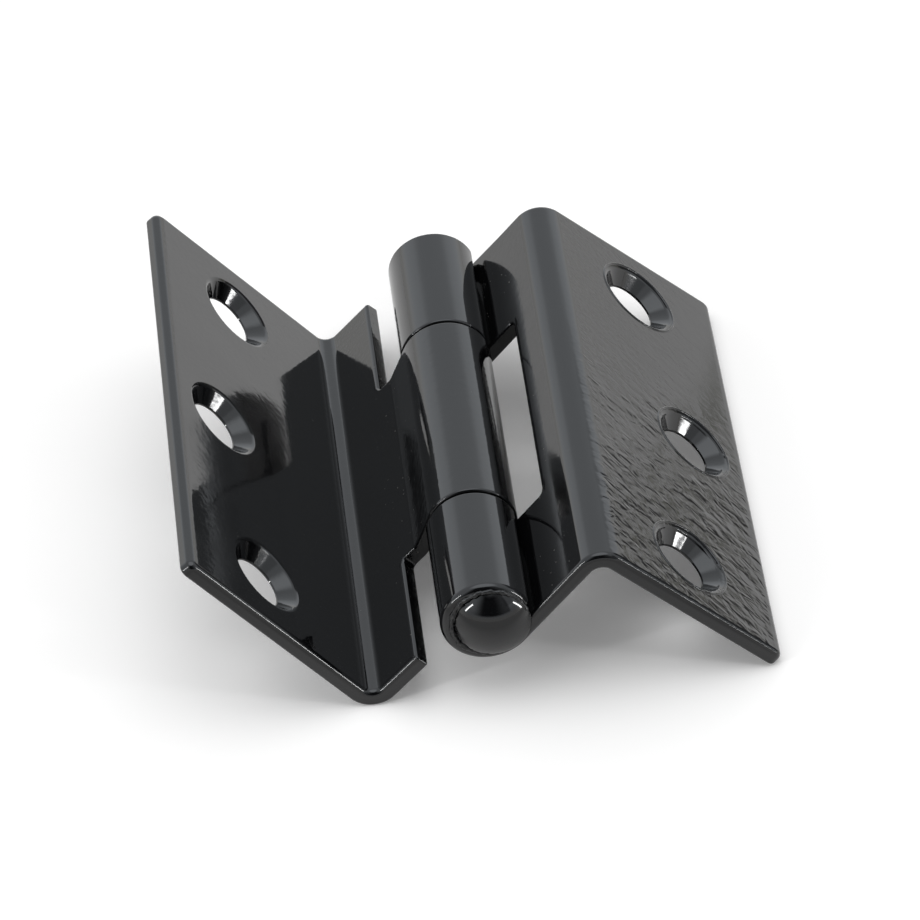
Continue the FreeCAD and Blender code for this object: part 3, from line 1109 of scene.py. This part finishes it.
@dataclass(frozen=True)
class GlossPaint:
    """Thick black gloss paint on sheet metal.

    Attributes:
        colour: The paint's own colour.
        gloss: Lowest roughness, on the smoothest spots.
        haze: How much roughness the duller spots add.
        ripple: Height of the orange peel's ripple, metres.
        swell: Height of its slow swell, metres.
        pitch: Ripples per metre.
        runs: Height of the slanting runs towards the leaf's near end, metres.
        grit: Height of the fine shear marks, metres.
        dust: Share of the dust places that hold a speck.
    """

    name: str
    colour: tuple[float, float, float] = (0.0027, 0.0028, 0.0032)
    gloss: float = 0.05
    haze: float = 0.06
    ripple: float = 8e-6
    swell: float = 3.6e-5
    pitch: float = 1250.0
    runs: float = 0.0
    grit: float = 0.0
    dust: float = 0.10

    def make(self, groups: dict[str, bpy.types.NodeTree]) -> bpy.types.Material:
        """Build the material.

        Args:
            groups: The shared effects by name: peel, sag and dust.

        Returns:
            The material.
        """
        material = bpy.data.materials.new(self.name)
        material.use_nodes = True
        material.node_tree.nodes.clear()
        bench = NodeBench(material.node_tree)
        where = bench.add("ShaderNodeTexCoord").outputs["Object"]
        skin = bench.add(
            "ShaderNodeGroup",
            node_tree=groups["peel"],
            Vector=where,
            Pitch=self.pitch,
            Ripple=self.ripple,
            Swell=self.swell,
        )
        specks = bench.add(
            "ShaderNodeGroup",
            node_tree=groups["dust"],
            Vector=where,
            Size=bench.maths("MULTIPLY_ADD", self.in_crevice(bench, where), 0.10, 0.13),
            Share=bench.maths("MULTIPLY_ADD", self.in_crevice(bench, where), 0.35, self.dust),
        )
        mask = specks.outputs["Mask"]
        patches = bench.add("ShaderNodeTexNoise", Vector=where, Scale=160.0, Detail=3.0)
        tint = bench.add("ShaderNodeMix", data_type="RGBA")
        darker = tuple(0.82 * part for part in self.colour)
        bench.put(tint.inputs["Factor"], patches.outputs["Fac"])
        bench.put(tint.inputs[6], (*darker, 1))
        bench.put(tint.inputs[7], (*(1.18 * part for part in self.colour), 1))
        dusty = bench.add("ShaderNodeMix", data_type="RGBA")
        bench.put(dusty.inputs["Factor"], bench.maths("MULTIPLY", mask, 0.55))
        bench.put(dusty.inputs[6], tint.outputs[2])
        bench.put(dusty.inputs[7], DUST_COLOUR)
        rough = bench.ramp(patches.outputs["Fac"], 0.3, 0.75, self.gloss, self.gloss + self.haze)
        rough = bench.maths("ADD", rough, bench.maths("MULTIPLY", mask, 0.5))
        height = bench.maths("ADD", skin.outputs["Height"], bench.maths("MULTIPLY", mask, 1.2e-5))
        if self.grit:
            height = bench.maths("ADD", height, self.shear_marks(bench, where))
        if self.runs:
            height = bench.maths("ADD", height, self.slanting_runs(bench, where, groups["sag"]))
        bump = bench.add("ShaderNodeBump", Strength=1.0, Distance=1.0, Height=height)
        paint = bench.add(
            "ShaderNodeBsdfPrincipled",
            Base__Color=dusty.outputs[2],
            Roughness=rough,
            Normal=bump.outputs["Normal"],
            IOR=1.6,
        )
        bench.add("ShaderNodeOutputMaterial", Surface=paint.outputs["BSDF"])
        return material

    def in_crevice(self, bench: NodeBench, where: bpy.types.NodeSocket) -> bpy.types.NodeSocket:
        """Mask of the corner between the knuckles and the flange, where dust gathers.

        Args:
            bench: The material's nodes.
            where: Object coordinates.

        Returns:
            The mask.
        """
        sideways = bench.vector("MULTIPLY", where, (1, 0, 1)).outputs["Vector"]
        from_axis = bench.vector("DISTANCE", sideways, PIN_AXIS * MM).outputs["Value"]
        return bench.window(from_axis, 0.0051, 0.0056, 0.0085, 0.0115)

    def slanting_runs(
        self, bench: NodeBench, where: bpy.types.NodeSocket, sag: bpy.types.NodeTree
    ) -> bpy.types.NodeSocket:
        """Runs on the screw plate, thick at its near end and almost gone at the far one.

        Args:
            bench: The material's nodes.
            where: Object coordinates.
            sag: The group that makes the runs.

        Returns:
            The height in metres.
        """
        place = bench.add("ShaderNodeSeparateXYZ", Vector=where)
        outwards = bench.vector("DOT_PRODUCT", where, PLATE_NORMAL).outputs["Value"]
        on_plate = bench.maths(
            "MULTIPLY",
            bench.ramp(outwards, PLATE_FACE - 0.00038, PLATE_FACE - 0.00016),
            bench.ramp(place.outputs["X"], 0.0080, 0.0100),
        )
        towards_us = bench.ramp(place.outputs["Y"], 0.016, -0.012, 0.08, 1.0)
        near = bench.maths("MULTIPLY", towards_us, on_plate)
        blotch = bench.add("ShaderNodeTexNoise", Vector=where, Scale=150.0, Detail=1.0)
        patchy = bench.ramp(blotch.outputs["Fac"], 0.36, 0.58, 0.6, 1.0)
        runs = bench.add(
            "ShaderNodeGroup", node_tree=sag, Vector=where, Slant=RUN_SLANT, Run=self.runs
        )
        strength = bench.maths("MULTIPLY", near, patchy)
        return bench.maths("MULTIPLY", runs.outputs["Height"], strength)

    def shear_marks(self, bench: NodeBench, where: bpy.types.NodeSocket) -> bpy.types.NodeSocket:
        """Fine grain of a sheared face under the paint.

        Args:
            bench: The material's nodes.
            where: Object coordinates.

        Returns:
            The height in metres.
        """
        noise = bench.add("ShaderNodeTexNoise", Vector=where, Scale=3200.0, Detail=2.0, Roughness=0.6)
        return bench.maths("MULTIPLY", noise.outputs["Fac"], self.grit)


SHEET_PAINT = GlossPaint("black_gloss_sheet", dust=0.12)
RUN_PAINT = GlossPaint(
    "black_gloss_runs", ripple=3e-6, swell=2.4e-5, runs=1.2e-4, dust=0.06
)
CUT_PAINT = GlossPaint(
    "black_gloss_cut_edge", gloss=0.09, haze=0.08, ripple=2.5e-6, grit=1.6e-6, dust=0.05
)
PIN_PAINT = GlossPaint(
    "black_gloss_pin", gloss=0.06, haze=0.05, ripple=1e-6, swell=1e-5, dust=0.03
)
CRUST_PAINT = GlossPaint(
    "black_paint_crust", gloss=0.3, haze=0.25, ripple=5e-6, grit=3e-6, dust=0.02
)


# Studio


@dataclass(frozen=True)
class Softbox:
    """One soft lamp beside the table, facing the hinge.

    Attributes:
        azimuth: Degrees from -Y towards +X.
        elevation: Degrees above the table.
        lean: Degrees by which its top leans towards -Y on the right side.
        width: Metres.
        height: Metres.
        radiance: How bright its face looks, where 1 is white.
        distance: Metres from the hinge.
    """

    name: str
    azimuth: float
    elevation: float
    lean: float
    width: float
    height: float
    radiance: float
    distance: float = 0.8

    def place(self) -> None:
        """Hang the lamp."""
        azimuth, elevation = math.radians(self.azimuth), math.radians(self.elevation)
        away = Vector(
            (
                math.sin(azimuth) * math.cos(elevation),
                -math.cos(azimuth) * math.cos(elevation),
                math.sin(elevation),
            )
        )
        power = self.radiance * math.pi * self.width * self.height
        bpy.ops.object.light_add(type="AREA", location=away * self.distance)
        lamp = bpy.context.active_object
        lamp.name = self.name
        lamp.rotation_mode = "QUATERNION"
        lean = Quaternion((0, 0, 1), math.radians(self.lean))
        lamp.rotation_quaternion = away.to_track_quat("Z", "Y") @ lean
        lamp.data.shape = "RECTANGLE"
        lamp.data.size = self.width
        lamp.data.size_y = self.height
        lamp.data.energy = power


@dataclass(frozen=True)
class Studio:
    """White table in a white tent, with the dark opening for the camera and two softboxes."""

    table_size: float = 3.0
    softboxes: tuple[Softbox, ...] = (
        Softbox("softbox_right", 67.3, 12.8, 28, 0.036, 0.36, 28.0),
        Softbox("softbox_left", -59.3, 22, -28, 0.036, 0.33, 28.0),
    )

    def build(self) -> None:
        """Set up the table, the room and the lamps."""
        self.lay_table()
        self.paint_room()
        for softbox in self.softboxes:
            softbox.place()

    def lay_table(self) -> None:
        """Lay the white table top. For glossy rays only, its colour is painted darker in front and below
        the tent's gap, a little warmer there: painted shade that shows in the paint's reflections.
        """
        bpy.ops.object.select_all(action="DESELECT")
        bpy.ops.mesh.primitive_plane_add(size=self.table_size)
        table = bpy.context.active_object
        table.name = "table_top"
        material = bpy.data.materials.new("white_table")
        material.use_nodes = True
        material.node_tree.nodes.clear()
        bench = NodeBench(material.node_tree)
        where = bench.add("ShaderNodeTexCoord").outputs["Object"]
        place = bench.add("ShaderNodeSeparateXYZ", Vector=where)
        rays = bench.add("ShaderNodeLightPath").outputs
        behind = bench.ramp(place.outputs["Y"], 0.03, 0.16)
        glow = bench.maths("MULTIPLY", rays["Is Camera Ray"], 0.12)
        # Painted shade: for glossy rays only, the table is made darker in front of the hinge
        front = bench.ramp(place.outputs["Y"], -0.02, -0.07)
        painted_front_shade = bench.maths("MULTIPLY", rays["Is Glossy Ray"], front)
        shade = bench.maths("MULTIPLY_ADD", painted_front_shade, -0.42, 0.95)
        # Painted shade: for glossy rays only, the table behind the hinge and below the tent's gap is made
        # darker and a little warmer
        turn = bench.maths("ARCTAN2", place.outputs["X"], bench.maths("MULTIPLY", place.outputs["Y"], -1.0))
        beside = bench.window(bench.maths("DEGREES", turn), *GAP_START, 136.0, 138.4)
        painted_gap_shade = bench.maths("MULTIPLY", beside, bench.maths("MULTIPLY", rays["Is Glossy Ray"], behind))
        shade = bench.maths("MULTIPLY", shade, bench.maths("MULTIPLY_ADD", painted_gap_shade, -0.6, 1.0))
        blue = bench.maths("MULTIPLY_ADD", painted_gap_shade, -0.05, shade)
        white = bench.add(
            "ShaderNodeBsdfPrincipled",
            Base__Color=bench.add("ShaderNodeCombineXYZ", X=shade, Y=shade, Z=blue).outputs[0],
            Roughness=0.9,
            Emission__Color=(1, 1, 1, 1),
            Emission__Strength=glow,
        )
        white.inputs["Specular IOR Level"].default_value = 0.0
        bench.add("ShaderNodeOutputMaterial", Surface=white.outputs["BSDF"])
        table.data.materials.append(material)

    def paint_room(self) -> None:
        """Make the tent: white all round, dark where the camera looks in and in a gap on the right."""
        world = bpy.data.worlds.new("studio_room")
        bpy.context.scene.world = world
        world.use_nodes = True
        world.node_tree.nodes.clear()
        bench = NodeBench(world.node_tree)
        way = bench.add(
            "ShaderNodeSeparateXYZ", Vector=bench.add("ShaderNodeTexCoord").outputs["Generated"]
        ).outputs
        turn = bench.maths("ARCTAN2", way["X"], bench.maths("MULTIPLY", way["Y"], -1.0))
        azimuth = bench.maths("DEGREES", turn)
        elevation = bench.maths("DEGREES", bench.maths("ARCSINE", way["Z"]))
        off_front = bench.maths("ABSOLUTE", azimuth)
        tent = self.white_tent(bench, azimuth, elevation, off_front)
        opening = self.camera_opening(bench, azimuth, elevation)
        gap = bench.maths(
            "MULTIPLY",
            bench.window(azimuth, *GAP_START, 138.8, 140.2),
            bench.window(elevation, 0.4, 1.2, 34, 44),
        )
        lit = bench.maths("MULTIPLY", tent, bench.maths("SUBTRACT", 1.0, opening))
        room = bench.maths("MULTIPLY", lit, bench.maths("MULTIPLY_ADD", gap, -0.85, 1.0))
        rays = bench.add("ShaderNodeLightPath").outputs
        camera = rays["Is Camera Ray"]
        others = bench.maths("SUBTRACT", 1.0, camera)
        strength = bench.maths("MULTIPLY_ADD", room, others, camera)
        cool = bench.add("ShaderNodeMix", data_type="RGBA", Factor=bench.ramp(elevation, 2, 14))
        bench.put(cool.inputs[6], (1.0, 1.0, 0.98, 1))
        bench.put(cool.inputs[7], (0.95, 1.0, 1.05, 1))
        tint = bench.add("ShaderNodeMix", data_type="RGBA", Factor=rays["Is Glossy Ray"])
        bench.put(tint.inputs[6], (1, 1, 1, 1))
        bench.put(tint.inputs[7], cool.outputs[2])
        light = bench.add("ShaderNodeBackground", Color=tint.outputs[2], Strength=strength)
        bench.add("ShaderNodeOutputWorld", Surface=light.outputs["Background"])

    def white_tent(
        self,
        bench: NodeBench,
        azimuth: bpy.types.NodeSocket,
        elevation: bpy.types.NodeSocket,
        off_front: bpy.types.NodeSocket,
    ) -> bpy.types.NodeSocket:
        """Brightness of the tent's walls.

        Args:
            bench: The world's nodes.
            azimuth: Degrees from -Y towards +X.
            elevation: Degrees above the table.
            off_front: Degrees from -Y to either side.

        Returns:
            The brightness, where 1 is white.
        """
        back = bench.ramp(off_front, 95, 130)
        band = bench.window(elevation, 2, 8, 24, 32)
        glow = bench.maths("MULTIPLY", bench.maths("MULTIPLY", back, band), 0.25)
        front = bench.maths(
            "MULTIPLY", bench.ramp(off_front, 75, 55), bench.ramp(elevation, 24, 14)
        )
        above_lamp = bench.maths(
            "MULTIPLY", bench.window(azimuth, 36, 42, 60, 70), bench.window(elevation, 23, 28, 44, 50)
        )
        dim = bench.maths("MULTIPLY_ADD", above_lamp, 0.28, bench.maths("MULTIPLY", front, 0.2))
        walls = bench.maths("SUBTRACT", bench.maths("ADD", glow, 0.95), dim)
        return bench.maths("MULTIPLY_ADD", bench.ramp(elevation, 58, 72), 1.0, walls)

    def camera_opening(
        self, bench: NodeBench, azimuth: bpy.types.NodeSocket, elevation: bpy.types.NodeSocket
    ) -> bpy.types.NodeSocket:
        """Share of the light that the tent lacks round the camera.

        Args:
            bench: The world's nodes.
            azimuth: Degrees from -Y towards +X.
            elevation: Degrees above the table.

        Returns:
            The share, 1 where it is black.
        """
        left = bench.ramp(azimuth, -56, -20)
        right = bench.ramp(azimuth, 49, 44)
        paler = bench.ramp(azimuth, 8, 42, 0.98, 0.68)
        sides = bench.maths("MULTIPLY", bench.maths("MULTIPLY", left, right), paler)
        return bench.maths("MULTIPLY", sides, bench.window(elevation, 9, 15, 56, 70))


@dataclass(frozen=True)
class Viewpoint:
    """The photograph's camera. Angles in degrees, lengths in metres."""

    azimuth: float = -3.318
    elevation: float = 37.818
    roll: float = -3.433
    distance: float = 0.718636
    target: tuple[float, float, float] = (0.0000734, -0.001768, 0.008478)
    focal_pixels: float = 6519.243
    sensor: float = 36.0

    def place(self) -> None:
        """Set up the camera."""
        azimuth, elevation = math.radians(self.azimuth), math.radians(self.elevation)
        back = Vector(
            (
                math.sin(azimuth) * math.cos(elevation),
                -math.cos(azimuth) * math.cos(elevation),
                math.sin(elevation),
            )
        )
        right = (-back).cross(Vector((0, 0, 1))).normalized()
        turned = Matrix.Rotation(math.radians(self.roll), 3, back)
        right = turned @ right
        up = back.cross(right)
        data = bpy.data.cameras.new("photo_camera")
        data.sensor_width = self.sensor
        data.lens = self.focal_pixels / IMAGE_SIZE * self.sensor
        data.clip_start = 0.01
        data.clip_end = 20
        camera = bpy.data.objects.new("photo_camera", data)
        bpy.context.scene.collection.objects.link(camera)
        axes = Matrix((right, up, back)).transposed().to_4x4()
        camera.matrix_world = Matrix.Translation(Vector(self.target) + back * self.distance) @ axes
        bpy.context.scene.camera = camera


# Assembly


@dataclass
class StormproofHinge:
    """The whole hinge."""

    leaves: tuple[BentLeaf, ...] = field(default_factory=lambda: (outer_leaf(), centre_leaf()))
    pin: HingePin = field(default_factory=HingePin)

    def build(self) -> None:
        """Make and dress every piece."""
        groups = {"peel": peel_group(), "sag": sag_group(), "dust": dust_group()}
        finishes = {
            paint.name: paint.make(groups)
            for paint in (SHEET_PAINT, RUN_PAINT, CUT_PAINT, PIN_PAINT, CRUST_PAINT)
        }
        for leaf in self.leaves:
            sheet = leaf.build()
            face = RUN_PAINT if leaf.kind is LeafKind.OUTER else SHEET_PAINT
            sheet.data.materials[Zone.SHEET.value] = finishes[face.name]
            sheet.data.materials[Zone.CUT.value] = finishes[CUT_PAINT.name]
            report(sheet)
        pin = self.pin.build()
        pin.data.materials.append(finishes[PIN_PAINT.name])
        report(pin)
        for crust in (
            PaintBead("paint_bead_near", -1, off_x=0.30, off_z=0.22, reach=0.24),
            PaintBead("paint_bead_far", 1, off_x=0.0, off_z=0.0, reach=0.12),
        ):
            bead = crust.build()
            bead.data.materials.append(finishes[CRUST_PAINT.name])
            report(bead)


def report(piece: bpy.types.Object) -> None:
    """Log a finished piece with its size.

    Args:
        piece: The piece.
    """
    size = ", ".join(f"{side * 1000:.1f}" for side in piece.dimensions)
    LOG.info("%s: %d faces, %s mm", piece.name, len(piece.data.polygons), size)


def main() -> None:
    """Build the hinge, its studio and its camera."""
    logging.basicConfig(level=logging.INFO, format="%(name)s: %(message)s")
    StormproofHinge().build()
    Studio().build()
    Viewpoint().place()
    bpy.context.scene.view_settings.view_transform = "Standard"


if __name__ == "__main__":
    main()
